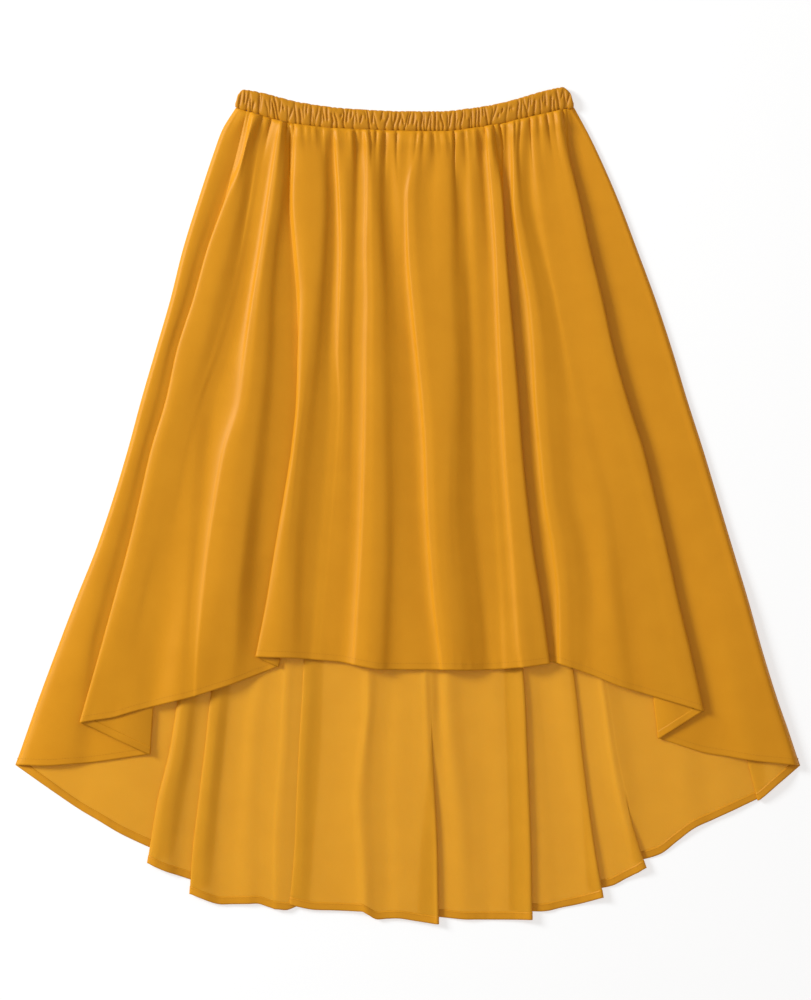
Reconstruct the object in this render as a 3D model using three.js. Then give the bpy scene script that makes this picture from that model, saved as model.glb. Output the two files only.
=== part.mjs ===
// A high-low skirt in light chiffon with a gathered elastic waist, laid flat on a table.
// It is a tube of a short front panel and a long back panel, gathered into an elasticated waistband.
// Millimetres, +Z up. The cloth lies on z = 0, its waist towards +Y, its front upwards.
// Places along the cloth are first given on the table: across from its left edge, down from its far edge.
import * as THREE from "three";

// Sizes of the garment
const CLOTH = 1.0; // thickness of a cloth wall
const SEAM_GAP = 0.3; // between two pieces at a seam
const HEM_WIDTH = 8; // turned and stitched hem
const HEM_STEP = 0.6; // length over which the cloth thickens into the hem
const HEM_EXTRA = 0.35; // what the turned hem adds on the inside

// How it lies
const STACK = 5.2; // height of three cloth layers where a pleat folds over itself
const TURN = 1.2; // half width of a rounded pleat edge
const PLEAT_OPENS = 5; // lap, or gap, at which the two edges of a pleat lie fully folded, or fully open
const BESIDE_PLEAT = 0.35; // slope of the cloth coming down beside a pleat
const PLEAT_REACH = 7; // folds on one side that a pleat can lift
const SEAM_PRESS = 0.28; // share of its height that a fold keeps at the waist seam
const SEAM_FREE = 50; // distance below the seam where a fold has its full height
const LIE_CLEAR = 1.2; // front panel above the highest cloth below it
const SIDE_LAY = 18; // how far in from a side edge the front panel comes down to the back panel
const BAND_LAY = 22; // how far below the waistband the front panel lies as the back panel lets it
const HEMS_MEET = [690, 735]; // down the table, where the side seam thickens into both hems
const GATHER_RISE = 2.0; // small gathers that fade out below the waistband
const GATHER_ENDS = 0.12; // share of the length where the small gathers are gone
const GATHER_STARTS = 0.03; // share of the length where they are full
const GATHER_SIDE = 20; // distance from a side edge where they are full
const FLAT_BELOW = 0.45; // an underside lower than this is pressed flat on the table
const CELL = 6; // side of a square in the map of the highest cloth of the back panel

// The middle of the laid-out skirt on the table
const MIDDLE = { across: 408.025, down: 506.273 };

const { lerp, smoothstep } = THREE.MathUtils;

// A row of numbers for each named column becomes an object
function table(columns, rows) {
  return rows.map((row) => Object.fromEntries(row.map((value, i) => [columns[i], value])));
}

// A smooth curve through values given at rising places, with no overshoot between them
function smoothThrough(places, values) {
  const last = places.length - 1;
  const slope = places.map((p, i) =>
    i < last ? (values[i + 1] - values[i]) / (places[i + 1] - p) : 0);
  const lean = slope.map((s, i) => {
    if (i === 0) return slope[0];
    if (i === last) return slope[last - 1];
    return slope[i - 1] * s <= 0 ? 0 : (2 * slope[i - 1] * s) / (slope[i - 1] + s);
  });
  return (place) => {
    if (place <= places[0]) return values[0];
    if (place >= places[last]) return values[last];
    let i = 0;
    while (place > places[i + 1]) i += 1;
    const wide = places[i + 1] - places[i];
    const t = (place - places[i]) / wide;
    return lerp(values[i], values[i + 1], t * t * (3 - 2 * t))
      + wide * (lean[i] * t * (1 - t) ** 2 - lean[i + 1] * t * t * (1 - t));
  };
}

// Waistband edges on the table
const BAND_EDGE = table(["across", "top", "bottom"], [
  [236, 103, 108.5],
  [238.5, 95, 109],
  [244, 90.5, 110.5],
  [262, 93.5, 116],
  [300, 103, 124.5],
  [350, 109.5, 130],
  [408, 112, 131.5],
  [450, 111, 131],
  [500, 103.5, 124.5],
  [545, 91.5, 114],
  [563, 88.5, 110.5],
  [570, 94, 109],
  [573, 103, 108.5],
]);
const bandAcross = BAND_EDGE.map((row) => row.across);
const bandTop = smoothThrough(bandAcross, BAND_EDGE.map((row) => row.top));
const bandBottom = smoothThrough(bandAcross, BAND_EDGE.map((row) => row.bottom));

// Both side edges of the tube, shared by the two panels: across, at each distance down the table
const SIDE_DOWN = [150, 200, 300, 400, 500, 600, 700];
const SIDES = {
  left: [215, 198.5, 170.5, 141.5, 113, 76, 38.5],
  right: [596, 618, 655.5, 687, 718, 748, 777.5],
};

// Folds of the front panel, left to right along the cloth. seam to at600 are places across the table at
// the waist seam and at those distances down; hemX and hemY are on the hem; top, mid and hem are how far
// the fold stands above the cloth it lies on. A pleat is an "under" edge and an "over" edge in a row.
const FRONT_DOWN = [150, 200, 300, 400, 500, 600];
const FRONT_FOLDS = table(
  ["kind", "seam", "at150", "at200", "at300", "at400", "at500", "at600", "hemX", "hemY", "top", "mid", "hem"],
  [
    ["left", 236, 215, 198.5, 170.5, 141.5, 113, 76, 16.5, 764, 0, 0, 0],
    ["ridge", 240, 224, 208, 181, 153, 124, 92, 52, 763, 1.5, 3.5, 4.5],
    ["valley", 245, 234, 215, 186, 158, 133, 109, 88, 762, 0.4, 0, 0],
    ["under", 248, 239, 226, 203, 190, 178, 163, 150.5, 752, 0, 0, 0],
    ["over", 252, 243.5, 224, 192, 165, 139.5, 114.5, 80, 721, 0, 0, 0],
    ["ridge", 257, 250, 233, 204, 178, 153, 129, 98, 718, 5, 6.5, 7],
    ["valley", 262, 259, 250, 224, 197, 172, 150, 146, 708, 1.5, 2, 1.5],
    ["ridge", 266, 265, 257, 233, 208, 192, 186, 178, 700, 2.5, 3.5, 3],
    ["valley", 271, 269, 262, 242, 220, 203, 194, 188, 697, 1, 2, 1.5],
    ["ridge", 280, 277, 269, 252, 238, 216, 203, 197, 694, 5, 7.5, 5],
    ["slope", 285, 283, 278, 264, 254, 241, 231, 226, 685, 3.5, 4.5, 3],
    ["valley", 288, 287, 285, 275, 265, 257, 248, 245, 678, 0.4, 0, 0],
    ["under", 290, 291, 291, 297, 300, 297, 287, 279, 664, 0, 0, 0],
    ["over", 294, 294.5, 294, 300, 296.5, 284, 267, 257, 656, 0, 0, 0],
    ["ridge", 299, 300, 301, 306, 303, 291, 275, 267, 657, 5, 6.5, 5],
    ["slope", 320, 320, 323, 319, 310, 299, 291, 288, 657.5, 4, 4, 3],
    ["valley", 328, 328, 330, 326, 318, 312, 305, 302, 658, 0.5, 0.8, 1],
    ["ridge", 337, 339, 342, 341, 342, 336, 326, 320, 659.5, 4, 3, 2],
    ["slope", 350, 351, 352, 350, 349, 345, 338, 334, 661, 3, 2, 1.5],
    ["valley", 357, 358, 358, 357, 356, 354, 349, 346, 663, 0.5, 0.5, 1],
    ["ridge", 365, 366, 367, 367, 366, 363, 358, 354, 664, 5, 7.5, 6],
    ["slope", 376, 376, 377, 379, 381, 383, 380, 378, 667, 3, 3.5, 2.5],
    ["valley", 384, 384, 385, 389, 392, 394, 393, 392, 669, 0.4, 0, 0.3],
    ["slope", 392, 391, 393, 399, 404, 408, 412, 415, 669.5, 2.5, 2, 1.5],
    ["ridge", 416, 414, 408, 413, 422, 427, 434, 440, 670, 5, 8, 5],
    ["slope", 428, 427, 426, 432, 440, 441, 448, 453, 670, 3.5, 5, 3.5],
    ["ridge", 447, 448, 450, 452, 455, 452, 460, 467, 669.5, 4.5, 4.5, 3],
    ["valley", 457, 457, 459, 463, 466, 464, 473, 478, 669, 0.5, 0, 0.3],
    ["ridge", 469, 471, 473, 477, 480, 482, 487, 490, 668.5, 3.5, 2, 1.5],
    ["valley", 479, 480, 483, 488, 491, 495, 501, 504, 668, 0.8, 0.8, 0.8],
    ["ridge", 487, 490, 495, 501, 506, 511, 520, 526, 666, 4, 6.5, 6],
    ["over", 494, 498, 503, 510, 518, 526.5, 542, 549.5, 663, 0, 0, 0],
    ["under", 498, 502, 502, 504, 508, 513, 524, 527, 661, 0, 0, 0],
    ["valley", 505, 507, 509, 518, 527, 536, 550, 553, 662, 0, 0, 0],
    ["ridge", 513, 512, 513.5, 529, 536, 546, 559, 560, 664, 4.5, 6, 5],
    ["slope", 522, 522, 525, 540, 549, 560, 568, 571, 667.5, 2.5, 3.5, 3],
    ["valley", 528, 529, 532, 547, 560, 571, 583, 587, 674, 0.8, 1.5, 1],
    ["ridge", 535, 537, 542, 556, 577, 599, 611, 617, 685, 3.5, 3, 3],
    ["valley", 544, 549, 556, 575, 596, 615, 632, 642, 692, 1.5, 2, 1.5],
    ["slope", 551, 556, 565, 585, 605, 623, 641, 657, 697, 2.5, 4, 5.5],
    ["ridge", 557, 562, 572, 595, 618, 643, 666, 690, 706, 4.5, 6.5, 7],
    ["over", 562, 568.5, 579, 602.5, 626, 652, 675, 703, 710, 0, 0, 0],
    ["under", 566, 568, 574, 590, 606, 622, 639, 657.5, 738, 0, 0, 0],
    ["valley", 569, 578, 592, 618, 645, 672, 697, 704, 749, 0.3, 0, 0],
    ["ridge", 572, 587, 606, 637, 666, 695, 723, 752, 758, 1.5, 3.5, 4],
    ["right", 574, 596, 618, 655.5, 687, 718, 748, 799.5, 764.5, 0, 0, 0],
  ]);

// Folds of the back panel in the same columns. Its inside faces up, and it shows below the front hem.
const BACK_DOWN = [200, 400, 600, 700, 800];
const BACK_FOLDS = table(
  ["kind", "seam", "at200", "at400", "at600", "at700", "at800", "hemX", "hemY", "top", "mid", "hem"],
  [
    ["left", 236, 198.5, 141.5, 76, 38.5, 20, 16, 765, 0, 0, 0],
    ["ridge", 243, 222, 170, 112, 86, 80, 76, 806, 1, 1, 1.4],
    ["valley", 253, 240, 196, 150, 128, 116, 112, 826, 0, 0, 0],
    ["under", 262, 254, 232, 208, 196, 184, 174, 856, 0, 0, 0],
    ["over", 266, 256, 228, 193.5, 176, 158.5, 148.5, 863, 0, 0, 0],
    ["ridge", 272, 264, 240, 213, 198, 181, 171, 873, 2, 4, 4],
    ["valley", 280, 273, 254, 229, 215, 205, 195, 880, 0, 0, 0],
    ["under", 286, 280, 264, 240, 228, 220, 213, 885, 0, 0, 0],
    ["over", 290, 284, 262, 227, 210.5, 199.5, 190.5, 892, 0, 0, 0],
    ["ridge", 296, 291, 271, 238, 221, 210, 201, 900, 2, 4, 4],
    ["valley", 304, 300, 284, 258, 246, 240, 232, 903, 0, 0, 0.2],
    ["slope", 312, 309, 294, 271, 262, 256, 255, 902, 1, 1, 1.2],
    ["ridge", 320, 317, 304, 289, 284, 278, 276, 911, 2, 3, 4],
    ["valley", 326, 324, 312, 300, 295, 291, 286, 909, 0, 0, 0],
    ["under", 331, 332, 329, 325, 322, 318, 309, 900, 0, 0, 0],
    ["over", 335, 333, 320, 307, 301, 295.5, 290.5, 905, 0, 0, 0],
    ["ridge", 340, 339, 328, 316, 309, 303, 300, 908, 2, 3, 3],
    ["valley", 348, 349, 344, 337, 331, 322, 316, 909, 0, 0, 0.2],
    ["ridge", 360, 362, 366, 367, 364, 358, 354, 908, 2, 3, 3],
    ["valley", 372, 374, 378, 380, 378, 374, 374, 917, 0, 0.2, 0.4],
    ["slope", 386, 390, 398, 402, 401, 400, 402, 918, 1, 1.2, 1],
    ["ridge", 400, 404, 413, 418, 420, 422, 428, 923, 2, 3.5, 3.5],
    ["over", 405, 410, 421, 428, 428, 432, 438.5, 924, 0, 0, 0],
    ["under", 409, 411, 417, 420, 417, 416, 417, 914, 0, 0, 0],
    ["valley", 416, 420, 430, 437, 438, 443, 449, 916, 0, 0, 0],
    ["ridge", 424, 430, 442, 450, 453, 459, 465, 918, 1.5, 2, 2],
    ["valley", 434, 442, 458, 471, 475, 478, 484, 918, 0, 0.2, 0.4],
    ["ridge", 446, 458, 482, 502, 511, 514, 518, 918, 2, 3.5, 3.5],
    ["over", 453, 466, 491, 514, 523, 528, 531, 917.5, 0, 0, 0],
    ["under", 457, 467, 486, 502, 507, 509, 509, 909, 0, 0, 0],
    ["valley", 463, 475, 500, 523, 533, 540, 544, 911, 0, 0, 0],
    ["ridge", 476, 492, 524, 553, 568, 580, 589, 900, 2, 3.5, 3.5],
    ["over", 485, 502, 535, 564, 577, 588.5, 602, 897, 0, 0, 0],
    ["under", 489, 503, 530, 552, 562, 572, 584, 889, 0, 0, 0],
    ["valley", 495, 511, 542, 571, 585, 600, 613, 884, 0, 0, 0],
    ["ridge", 504, 523, 558, 591, 606, 622, 634, 874, 2, 3, 3],
    ["over", 510, 530, 567, 601, 615.5, 631, 646, 867, 0, 0, 0],
    ["under", 514, 531, 562, 589, 601, 614, 629, 857, 0, 0, 0],
    ["valley", 521, 540, 576, 612, 630, 648, 660, 851, 0, 0, 0],
    ["ridge", 533, 558, 602, 646, 670, 684, 688, 830, 1, 1.2, 1.4],
    ["valley", 545, 576, 628, 682, 712, 722, 728, 811, 0, 0, 0],
    ["under", 555, 591, 650, 712, 746, 762, 764, 797, 0, 0, 0],
    ["over", 559, 594, 652, 709, 736, 754, 756, 799, 0, 0, 0],
    ["ridge", 565, 604, 668, 726, 754, 770, 771, 786, 0.5, 0.8, 0.8],
    ["right", 574, 618, 687, 748, 777.5, 794, 800, 765, 0, 0, 0],
  ]);

const LIFT_PLACES = [0, 0.4, 1]; // share of the length where top, mid and hem lifts are given
const FIRST_STATION = 8; // distance below the seam from which the stations on the table count
const LAST_STATION = 25; // distance above the hem up to which they count

// The line that a fold follows from the waist seam to the hem
function foldLine(fold, stations) {
  const seamDown = bandBottom(fold.seam) + SEAM_GAP;
  const length = fold.hemY - seamDown;
  const kept = stations.filter((down) =>
    down > seamDown + FIRST_STATION && down < fold.hemY - LAST_STATION);
  const side = SIDES[fold.kind];
  const down = side ? SIDE_DOWN : kept;
  const across = side ?? kept.map((at) => fold[`at${at}`]);
  const place = smoothThrough([seamDown, ...down, fold.hemY], [fold.seam, ...across, fold.hemX]);
  const lift = smoothThrough(LIFT_PLACES, [fold.top, fold.mid, fold.hem]);
  return ({ share, aboveHem }) => {
    const away = aboveHem === undefined ? (length - HEM_WIDTH) * share : length - aboveHem;
    return {
      kind: fold.kind,
      x: place(seamDown + away) - MIDDLE.across,
      y: MIDDLE.down - seamDown - away,
      z: lift(away / length) * lerp(SEAM_PRESS, 1, smoothstep(away, 0, SEAM_FREE)),
      press: lerp(SEAM_PRESS, 1, smoothstep(away, 0, SEAM_FREE)),
    };
  };
}

const isTurn = (spot) => spot?.kind === "under" || spot?.kind === "over";

// The two turned edges of a pleat, three points each, and what its three layers ask of the cloth beside it
function foldPleat(spots, i) {
  const [first, second] = [spots[i], spots[i + 1]];
  const rises = first.kind === "under";
  const lap = first.x - second.x;
  const folded = smoothstep(lap, -PLEAT_OPENS, PLEAT_OPENS);
  const standing = lerp(0.3, 1, smoothstep(lap, -2 * PLEAT_OPENS, 0));
  const height = STACK * standing * first.press;
  const back = TURN * (2 * folded - 1);
  const turned = (edge, x, level) => ({ x, y: edge.y, z: height * (rises ? level : 1 - level) });
  spots.forEach((other, j) => {
    if (isTurn(other) || Math.abs(j - i) > PLEAT_REACH) return;
    const onTop = rises === j > i;
    const past = rises ? other.x - first.x : second.x - other.x;
    const pastOver = rises ? other.x - second.x : first.x - other.x;
    if (onTop) {
      const needed = height - Math.max(0, past - TURN) * BESIDE_PLEAT;
      other.z = Math.max(other.z, needed * folded);
    } else if (past < 0 && pastOver > 0) {
      other.z = 0;
    }
  });
  return [
    [turned(first, first.x - TURN, 0), turned(first, first.x, 0.2), turned(first, first.x - back, 0.4)],
    [turned(second, second.x + back, 0.6), turned(second, second.x, 0.8),
      turned(second, second.x + TURN, 1)],
  ];
}

// Points of one cross-section, left to right along the cloth, with pleats folded over
function sectionPoints(lines, row) {
  const spots = lines.map((line) => line(row));
  const points = spots.map((spot) => [spot]);
  spots.forEach((spot, i) => {
    if (isTurn(spot) && isTurn(spots[i + 1])) [points[i], points[i + 1]] = foldPleat(spots, i);
  });
  return points;
}

// Cloth points in rows from the waist to the hem and columns from left to right
function clothGrid(folds, stations, rows, steps, restHeight) {
  const lines = folds.map((fold) => foldLine(fold, stations));
  return rows.map((row) => {
    const groups = sectionPoints(lines, row);
    const curve = new THREE.CatmullRomCurve3(
      groups.flat().map((p) => new THREE.Vector3(p.x, p.y, p.z)), false, "centripetal");
    const turned = groups.flatMap((group) => group.map(() => group.length > 1));
    const spans = turned.length - 1;
    const places = turned.slice(0, spans).flatMap((edge, i) => {
      const parts = edge && turned[i + 1] ? 1 : steps;
      return Array.from({ length: parts }, (_, k) => ({ at: (i + k / parts) / spans, between: k / parts }));
    });
    places.push({ at: 1, between: 0 });
    const cloth = places.map(({ at }) => curve.getPoint(at));
    const fade = row.share < GATHER_ENDS ? 1 - row.share / GATHER_ENDS : 0;
    const gather = GATHER_RISE * fade * smoothstep(row.share ?? 1, -GATHER_STARTS, GATHER_STARTS);
    const left = cloth[0].x;
    const right = cloth[cloth.length - 1].x;
    cloth.forEach((p, i) => {
      if (row.share === 0) p.y = MIDDLE.down - bandBottom(p.x + MIDDLE.across) - SEAM_GAP;
      const fromSide = Math.min(p.x - left, right - p.x);
      const puff = gather * Math.sin(Math.PI * places[i].between) * smoothstep(fromSide, 2, GATHER_SIDE);
      p.z = Math.max(p.z, 0) + puff + restHeight(p, fromSide) + CLOTH / 2;
    });
    return cloth;
  });
}

// Rows of the grid: shares of the length above the hem, then the turned hem
function gridRows(shares) {
  const body = shares.map((share) => ({ share }));
  return [...body, { aboveHem: HEM_WIDTH - HEM_STEP }, { aboveHem: 0 }];
}

// A closed wall round a grid of cloth points. The turned hem, its last two rows, is thicker on one side.
function wallGeometry(grid, { hemUp, hemDown, restsFlat }) {
  const rows = grid.length;
  const columns = grid[0].length;
  const along = (a, b, c) => {
    const into = new THREE.Vector3().subVectors(b, a).normalize();
    const out = new THREE.Vector3().subVectors(c, b).normalize();
    return into.add(out).normalize();
  };
  const upper = [];
  const lower = [];
  for (let r = 0; r < rows; r += 1) {
    for (let c = 0; c < columns; c += 1) {
      const p = grid[r][c];
      const right = along(grid[r][Math.max(c - 1, 0)], p, grid[r][Math.min(c + 1, columns - 1)]);
      const down = along(grid[Math.max(r - 1, 0)][c], p, grid[Math.min(r + 1, rows - 1)][c]);
      const normal = new THREE.Vector3().crossVectors(down, right);
      if (r === 0) normal.y = 0; // the seam edge stays square to the table
      normal.normalize();
      const hem = r < rows - 2 ? 0 : HEM_EXTRA;
      upper.push(p.clone().addScaledVector(normal, CLOTH / 2 + hem * hemUp));
      const under = p.clone().addScaledVector(normal, -CLOTH / 2 - hem * hemDown);
      if (restsFlat && under.z < FLAT_BELOW) under.z = 0;
      lower.push(under);
    }
  }
  const count = rows * columns;
  const faces = [];
  const quad = (a, b, c, d) => faces.push(a, b, c, a, c, d);
  const at = (r, c) => r * columns + c;
  for (let r = 0; r < rows - 1; r += 1) {
    for (let c = 0; c < columns - 1; c += 1) {
      quad(at(r, c), at(r + 1, c), at(r + 1, c + 1), at(r, c + 1));
      quad(count + at(r, c), count + at(r, c + 1), count + at(r + 1, c + 1), count + at(r + 1, c));
    }
  }
  for (let r = 0; r < rows - 1; r += 1) {
    quad(at(r, 0), count + at(r, 0), count + at(r + 1, 0), at(r + 1, 0));
    const c = columns - 1;
    quad(at(r, c), at(r + 1, c), count + at(r + 1, c), count + at(r, c));
  }
  for (let c = 0; c < columns - 1; c += 1) {
    quad(at(0, c), at(0, c + 1), count + at(0, c + 1), count + at(0, c));
    const r = rows - 1;
    quad(at(r, c), count + at(r, c), count + at(r, c + 1), at(r, c + 1));
  }
  return facesGeometry([...upper, ...lower], faces);
}

function facesGeometry(points, faces) {
  const geometry = new THREE.BufferGeometry().setFromPoints(points);
  geometry.setIndex(faces);
  geometry.computeVertexNormals();
  return geometry;
}

// The highest cloth of the back panel, in square cells, as the surface that the front panel lies on
function coverHeight(grid) {
  const size = 160;
  const middle = size / 2;
  let cells = new Float64Array(size * size).fill(CLOTH);
  const index = (i, j) => j * size + i;
  const column = (x) => Math.round(x / CELL + middle);
  grid.flat().forEach((p) => {
    const k = index(column(p.x), column(p.y));
    cells[k] = Math.max(cells[k], p.z + CLOTH / 2);
  });
  const spread = (pick, reach) => {
    const next = cells.slice();
    for (let j = reach; j < size - reach; j += 1) {
      for (let i = reach; i < size - reach; i += 1) {
        const near = [];
        for (let b = -reach; b <= reach; b += 1) {
          for (let a = -reach; a <= reach; a += 1) near.push(cells[index(i + a, j + b)]);
        }
        next[index(i, j)] = pick(near);
      }
    }
    cells = next;
  };
  spread((near) => Math.max(...near), 2);
  spread((near) => near.reduce((sum, z) => sum + z, 0) / near.length, 1);
  return (x, y) => {
    const u = x / CELL + middle;
    const w = y / CELL + middle;
    const i = Math.floor(u);
    const j = Math.floor(w);
    const left = lerp(cells[index(i, j)], cells[index(i, j + 1)], w - j);
    const right = lerp(cells[index(i + 1, j)], cells[index(i + 1, j + 1)], w - j);
    return lerp(left, right, u - i);
  };
}

// Back panel: long, hem lowest at the centre, pleats opening away from the centre
const BACK_SHARES = [0, 0.08, 0.25, 0.45, 0.6, 0.72, 0.82, 0.91, 1];
function backGrid(shares, steps) {
  return clothGrid(BACK_FOLDS, BACK_DOWN, gridRows(shares), steps, () => 0);
}

function backPanel() {
  return wallGeometry(backGrid(BACK_SHARES, 2), { hemUp: 1, hemDown: 0, restsFlat: true });
}

// Front panel: short, laid over the back panel
const FRONT_SHARES = [0, 0.035, 0.085, 0.13, 0.18, 0.26, 0.36, 0.46, 0.56, 0.66, 0.76, 0.86, 0.94, 1];
const COVER_ROWS = 80;
function frontPanel() {
  const evenShares = Array.from({ length: COVER_ROWS + 1 }, (_, i) => i / COVER_ROWS);
  const cover = coverHeight(backGrid(evenShares, 4));
  const rest = (p, fromSide) => {
    const down = MIDDLE.down - p.y;
    const inward = smoothstep(fromSide, 0, SIDE_LAY);
    const sideSeam = CLOTH + SEAM_GAP + 2 * HEM_EXTRA * smoothstep(down, ...HEMS_MEET);
    const onBack = lerp(sideSeam, cover(p.x, p.y) + LIE_CLEAR, inward);
    const atBand = lerp(sideSeam, BAND.half + BAND.gap, inward);
    const fromBand = down - bandBottom(p.x + MIDDLE.across);
    return lerp(atBand, onBack, smoothstep(fromBand, 0, BAND_LAY));
  };
  const grid = clothGrid(FRONT_FOLDS, FRONT_DOWN, gridRows(FRONT_SHARES), 2, rest);
  return wallGeometry(grid, { hemUp: 0, hemDown: 1, restsFlat: false });
}

// Waistband: one gathered casing round the elastic, pressed flat so that its two halves lie on each other
const BAND = {
  left: 238.5, // on the table, at the middle of the turned ends
  right: 570.5,
  half: 3.1, // half of the whole pressed thickness
  gap: 0.4, // half of the gap between the two halves
  ridges: 58, // gathers across the front, and as many across the back
  deepest: 1.0, // deepest hollow between two ridges
  uneven: 0.4, // share by which the hollows differ
  endParts: 6,
};

// Round the wall of the casing: how far up the band, and how far out from its flat middle
const CASING = table(["up", "out"], [
  [0, 0.7],
  [0.16, 1],
  [0.84, 1],
  [1, 0.7],
  [1, 0],
  [0, 0],
]);

function waistband() {
  const columnCount = 2 * BAND.ridges;
  const half = Array.from({ length: columnCount }, (_, i) => ({
    x: lerp(BAND.left, BAND.right, (i + 0.5) / columnCount),
    sink: i % 2 ? 0 : BAND.deepest * (1 - BAND.uneven + BAND.uneven * Math.cos(i * 1.7)),
  }));
  const end = (x, from) => Array.from({ length: BAND.endParts + 1 }, (_, k) => {
    const angle = from + (Math.PI * k) / BAND.endParts;
    return { x, side: Math.cos(angle), turn: Math.sin(angle), sink: 0 };
  });
  const columns = [
    ...half.map((spot) => ({ ...spot, side: 1, turn: 0 })),
    ...end(BAND.right, 0),
    ...half.toReversed().map((spot) => ({ ...spot, side: -1, turn: 0 })),
    ...end(BAND.left, Math.PI),
  ];
  const points = columns.flatMap(({ x, side, turn, sink }) => CASING.map(({ up, out }) => {
    const reach = lerp(BAND.gap, BAND.half - sink, out);
    const at = x + turn * reach;
    const down = lerp(bandBottom(at), bandTop(at), up);
    return new THREE.Vector3(at - MIDDLE.across, MIDDLE.down - down, BAND.half + side * reach);
  }));
  const round = CASING.length;
  const faces = columns.flatMap((_, c) => {
    const here = c * round;
    const next = ((c + 1) % columns.length) * round;
    return CASING.flatMap((__, k) => {
      const after = (k + 1) % round;
      return [here + k, next + k, next + after, here + k, next + after, here + after];
    });
  });
  return facesGeometry(points, faces);
}

const CHIFFON = { color: 0xd9982f, roughness: 0.62, metalness: 0 };
const GATHERED = { color: 0xc4811d, roughness: 0.7, metalness: 0 };
const PIECES = [
  ["back_panel", backPanel(), CHIFFON],
  ["front_panel", frontPanel(), CHIFFON],
  ["waistband", waistband(), GATHERED],
];

const skirt = new THREE.Group();
PIECES.forEach(([name, geometry, finish]) => {
  const mesh = new THREE.Mesh(geometry, new THREE.MeshStandardMaterial(finish));
  mesh.name = name;
  skirt.add(mesh);
});

export default skirt;
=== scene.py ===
import math
import bpy
import numpy as np
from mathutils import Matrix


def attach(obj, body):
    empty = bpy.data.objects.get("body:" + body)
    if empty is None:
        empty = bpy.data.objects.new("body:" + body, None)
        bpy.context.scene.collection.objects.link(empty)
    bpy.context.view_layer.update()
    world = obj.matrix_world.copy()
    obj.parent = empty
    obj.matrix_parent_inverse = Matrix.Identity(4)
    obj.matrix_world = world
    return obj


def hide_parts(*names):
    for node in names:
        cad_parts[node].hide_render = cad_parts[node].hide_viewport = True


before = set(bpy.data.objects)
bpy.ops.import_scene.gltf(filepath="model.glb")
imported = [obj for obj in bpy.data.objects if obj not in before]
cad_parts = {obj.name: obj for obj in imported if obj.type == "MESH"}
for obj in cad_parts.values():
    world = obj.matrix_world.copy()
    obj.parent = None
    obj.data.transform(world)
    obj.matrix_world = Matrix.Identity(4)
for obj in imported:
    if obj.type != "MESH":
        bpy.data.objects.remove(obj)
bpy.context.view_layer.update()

# Back panel: the long half of the tube, cut in one flared piece of light chiffon, its inside face up.
# It is gathered into the waistband, lies on the table in soft pleats and ends in a dipping hem.
MM = 0.001
# Places are in millimetres, across and down from a point on the table left of the skirt and beyond it
MIDDLE_ACROSS = 408.025
MIDDLE_DOWN = 506.273
CLOTH = 0.45  # thickness of one layer
CLOTH_CLEAR = 0.02  # least height of the cloth above the table
HEM_WIDTH = 8.0
HEM_ROWS = 6  # rows of the mesh across the turned hem
SEAM_FREE = 8.0  # no place of a fold is given nearer than this to the seam
HEM_FREE = 14.0  # nor nearer than this to the hem
CREST_SIDE = ((0.5, 0.14), (0.84, 0.46), (1, 0.8))  # share of the way up to a crest, share of its height
DROP_WIDE = 4.0  # distance over which the cloth falls beside a crest or an edge
BACK_STACK = 2.6  # height of three layers where a pleat of the back panel folds over itself
TURN = 1.0  # half width of a rounded pleat edge
PLEAT_OPENS = 5.0  # lap at which a pleat lies fully folded, or gap at which it is fully open
BESIDE_PLEAT = 0.35  # slope of the cloth coming down beside a pleat
STEP_ACROSS = 2.3  # between two columns of the mesh
PUCKER = 0.16  # height of the small waves along a hem
PUCKER_WAVES = (9.0, 13.0, 21.0, 34.0)


def smooth_through(places, values):
    """A smooth curve through values at rising places, with no overshoot between them."""
    places = np.array(places, float)
    values = np.array(values, float)
    slopes = np.diff(values) / np.diff(places)
    lean = np.zeros(len(values))
    lean[0] = slopes[0]
    lean[-1] = slopes[-1]
    for i in range(1, len(values) - 1):
        if slopes[i - 1] * slopes[i] > 0:
            lean[i] = 2 * slopes[i - 1] * slopes[i] / (slopes[i - 1] + slopes[i])

    def at(place):
        place = np.clip(place, places[0], places[-1])
        i = np.clip(np.searchsorted(places, place, side="right") - 1, 0, len(places) - 2)
        wide = places[i + 1] - places[i]
        t = (place - places[i]) / wide
        ease = t * t * (3 - 2 * t)
        flat = values[i] * (1 - ease) + values[i + 1] * ease
        return flat + wide * (lean[i] * t * (1 - t) ** 2 - lean[i + 1] * t * t * (1 - t))

    return at


def ramp(value, low, high):
    """0 below low, 1 above high, smooth between them."""
    t = np.clip((value - low) / (high - low), 0, 1)
    return t * t * (3 - 2 * t)


# Edges of the waistband, which both panels are sewn to: across, far edge, seam edge
BAND_EDGE = [
    (236, 103, 108), (238.5, 95, 109), (244, 90.5, 110.5), (262, 93.5, 116), (300, 103, 125.5),
    (350, 109.5, 129.5), (408, 112, 131.5), (440, 112, 132), (470, 109, 129), (500, 104, 124),
    (545, 91.5, 114), (563, 88, 110), (570, 94, 109), (573, 103, 108),
]
band_top = smooth_through([row[0] for row in BAND_EDGE], [row[1] for row in BAND_EDGE])
band_seam = smooth_through([row[0] for row in BAND_EDGE], [row[2] for row in BAND_EDGE])

# Both side edges of the tube, shared by the two panels
SIDE_DOWN = (130, 150, 200, 250, 300, 350, 400, 450, 500, 550, 600, 650, 700, 730)
LEFT_SIDE = (222.5, 215, 198.5, 183, 170.5, 156, 141.5, 128, 113, 96, 76, 57, 38.5, 28)
RIGHT_SIDE = (586, 596, 618, 637, 655.5, 672, 687, 703, 718, 733, 748, 762, 777.5, 788)

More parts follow.
